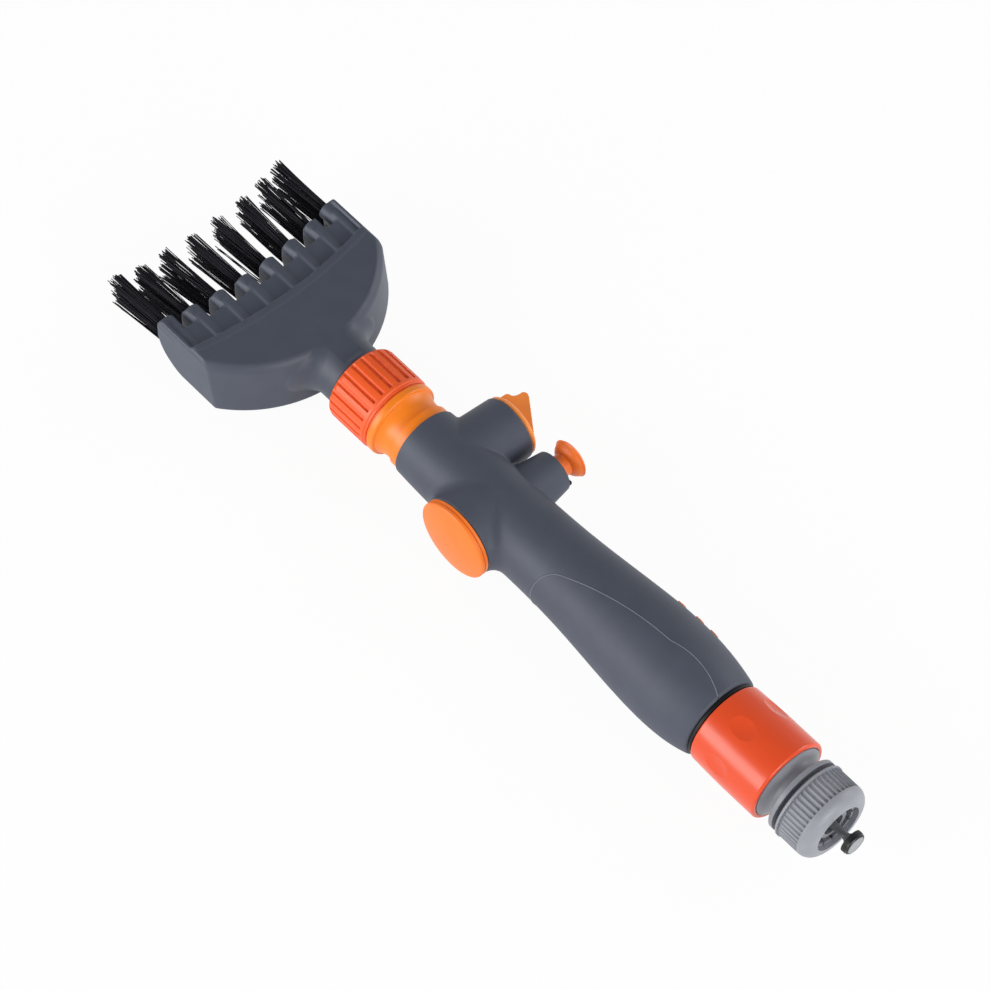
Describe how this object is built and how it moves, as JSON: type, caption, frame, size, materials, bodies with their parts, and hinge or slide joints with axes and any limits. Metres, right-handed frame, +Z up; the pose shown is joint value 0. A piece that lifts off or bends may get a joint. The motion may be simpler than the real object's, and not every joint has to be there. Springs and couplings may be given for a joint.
{
  "type": "hand-held wash wand with a comb head",
  "caption": "Straight hand-held shower wand for washing a coat: bristled comb head, union nut, grip with tap, soap button and chamber, and a quick hose connector.",
  "frame": {"origin": "middle of the hose barb's mouth, on the water line", "axes": "+X along the wand toward the hose, +Y to the side of the tap and the push button, +Z up with the wand lying flat on its head and grip"},
  "size_m": [0.3657, 0.0892, 0.0418],
  "materials": {
    "head_grey": "satin",
    "comb_grey": "satin",
    "bristle": "satin",
    "black_rubber": "matte",
    "orange_red": "satin",
    "collar_orange": "satin",
    "shell_grey": "satin",
    "cover_grey": "matte",
    "inlay_orange": "satin",
    "black_plastic": "satin",
    "brass": "turned",
    "knob_orange": "satin",
    "steel": "drawn",
    "lid_orange": "satin",
    "connector_grey": "satin",
    "claw_grey": "satin",
    "sleeve_orange": "gloss",
    "nut_grey": "satin"
  },
  "bodies": {
    "handle": {"core_tube": "collar_orange", "handle_shell": "shell_grey", "grip_cover": "cover_grey", "grip_inlays": "inlay_orange", "nipple": "black_plastic", "nipple_ring": "black_rubber", "tap_retainer": "black_plastic", "button_gland": "black_plastic"},
    "head": {"head_housing": "head_grey", "comb": "comb_grey", "tufts_upper": "bristle", "tufts_middle": "bristle", "tufts_lower": "bristle", "union_seal": "black_rubber"},
    "union_nut": {"union_nut": "orange_red"},
    "tap": {"tap_plug": "brass", "tap_rings": "black_rubber", "tap_knob": "knob_orange"},
    "button": {"push_button": "knob_orange", "button_spindle": "steel", "spindle_ring": "black_rubber", "dosing_seal": "black_rubber", "button_spring": "steel"},
    "lid": {"lid": "lid_orange", "lid_ring": "black_rubber"},
    "connector": {"connector_body": "connector_grey", "poppet_guide": "black_plastic", "hose_collet": "connector_grey"},
    "claw_1": {"claw_1": "claw_grey"},
    "claw_2": {"claw_2": "claw_grey"},
    "claw_3": {"claw_3": "claw_grey"},
    "claw_4": {"claw_4": "claw_grey"},
    "sleeve": {"release_sleeve": "sleeve_orange", "sleeve_spring": "steel"},
    "hose_nut": {"hose_nut": "nut_grey"},
    "poppet": {"poppet_stem": "claw_grey", "poppet_cap": "claw_grey", "poppet_seal": "black_rubber", "poppet_spring": "steel"}
  },
  "joints": [
    {"name": "head_swivel", "type": "hinge", "parent": "handle", "child": "head", "pos_m": [-0.26, 0, 0], "axis": [1, 0, 0], "continuous": true},
    {"name": "union_nut_turn", "type": "hinge", "parent": "handle", "child": "union_nut", "pos_m": [-0.248, 0, 0], "axis": [1, 0, 0], "continuous": true},
    {"name": "tap_turn", "type": "hinge", "parent": "handle", "child": "tap", "pos_m": [-0.2052, 0.0288, 0], "axis": [0, 1, 0], "range_deg": [0, 90]},
    {"name": "button_press", "type": "slide", "parent": "handle", "child": "button", "axis": [0, -1, 0], "range_m": [0, 0.004], "stiffness_N_per_m": 600, "springref_m": -0.001, "deforming": ["button_spring"]},
    {"name": "lid_off", "type": "slide", "parent": "handle", "child": "lid", "axis": [0, -1, 0], "range_m": [0, 0.012]},
    {"name": "connector_spin", "type": "hinge", "parent": "handle", "child": "connector", "pos_m": [-0.04, 0, 0], "axis": [1, 0, 0], "continuous": true},
    {"name": "sleeve_slide", "type": "slide", "parent": "connector", "child": "sleeve", "axis": [1, 0, 0], "range_m": [0, 0.004], "stiffness_N_per_m": 500, "springref_m": -0.001, "deforming": ["sleeve_spring"]},
    {"name": "claw_1_out", "type": "slide", "parent": "connector", "child": "claw_1", "axis": [0, 1, 0], "range_m": [0, 0.001]},
    {"name": "claw_2_out", "type": "slide", "parent": "connector", "child": "claw_2", "axis": [0, 0, 1], "range_m": [0, 0.001]},
    {"name": "claw_3_out", "type": "slide", "parent": "connector", "child": "claw_3", "axis": [0, -1, 0], "range_m": [0, 0.001]},
    {"name": "claw_4_out", "type": "slide", "parent": "connector", "child": "claw_4", "axis": [0, 0, -1], "range_m": [0, 0.001]},
    {"name": "hose_nut_turn", "type": "hinge", "parent": "connector", "child": "hose_nut", "pos_m": [-0.005, 0, 0], "axis": [1, 0, 0], "continuous": true},
    {"name": "poppet_press", "type": "slide", "parent": "connector", "child": "poppet", "axis": [-1, 0, 0], "range_m": [0, 0.0075], "deforming": ["poppet_spring"]}
  ],
  "couplings": [
    {"joint": "claw_1_out", "follows": "sleeve_slide", "ratio": 0.25},
    {"joint": "claw_2_out", "follows": "sleeve_slide", "ratio": 0.25},
    {"joint": "claw_3_out", "follows": "sleeve_slide", "ratio": 0.25},
    {"joint": "claw_4_out", "follows": "sleeve_slide", "ratio": 0.25}
  ]
}
